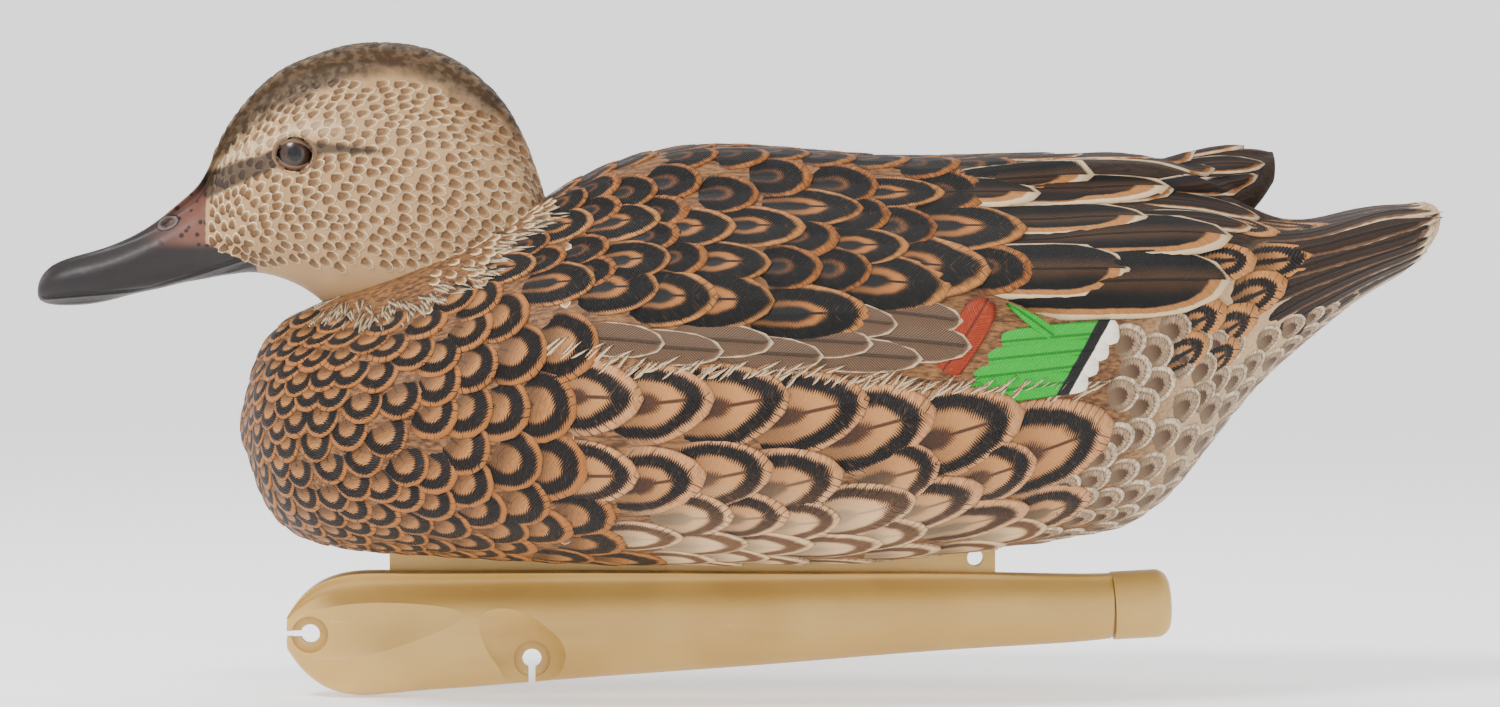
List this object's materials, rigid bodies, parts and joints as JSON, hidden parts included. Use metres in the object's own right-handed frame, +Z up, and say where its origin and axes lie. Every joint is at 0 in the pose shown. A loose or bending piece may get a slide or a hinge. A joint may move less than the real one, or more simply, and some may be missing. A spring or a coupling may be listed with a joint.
{
  "type": "floating duck decoy",
  "caption": "Life-size floating hen teal decoy with a hollow body, plugged-in head, glass-style eyes and a capped, ballasted keel with line eyes.",
  "frame": {"origin": "on the waterline, in the plane of symmetry, 120 mm behind the foremost point of the breast", "axes": "the bird faces -X, +Z is up, and Y runs across the bird with the left side at -Y"},
  "size_m": [0.3496, 0.1286, 0.1636],
  "materials": {
    "body_paint": "matt painted feather relief on blow-moulded rubbery plastic",
    "head_paint": "matt painted feather relief, with a dark satin bill",
    "eye": "gloss acrylic, dark brown with a black pupil",
    "seal": "matt",
    "keel_plastic": "satin moulded tan plastic, scuffed",
    "sand": "packed sand",
    "foam": "closed-cell foam"
  },
  "bodies": {
    "decoy": {"body_shell": "body_paint", "head_shell": "head_paint", "left_eye": "eye", "right_eye": "eye", "neck_gasket": "seal", "vent_plug": "seal", "keel_shell": "keel_plastic", "keel_stopper": "seal", "ballast_sand": "sand", "ballast_spacer": "foam"},
    "cap": {"keel_cap": "keel_plastic"}
  },
  "joints": [
    {"name": "cap_pull", "type": "slide", "parent": "decoy", "child": "cap", "axis": [0.9986, 0, 0.0523], "range_m": [0, 0.03]}
  ]
}
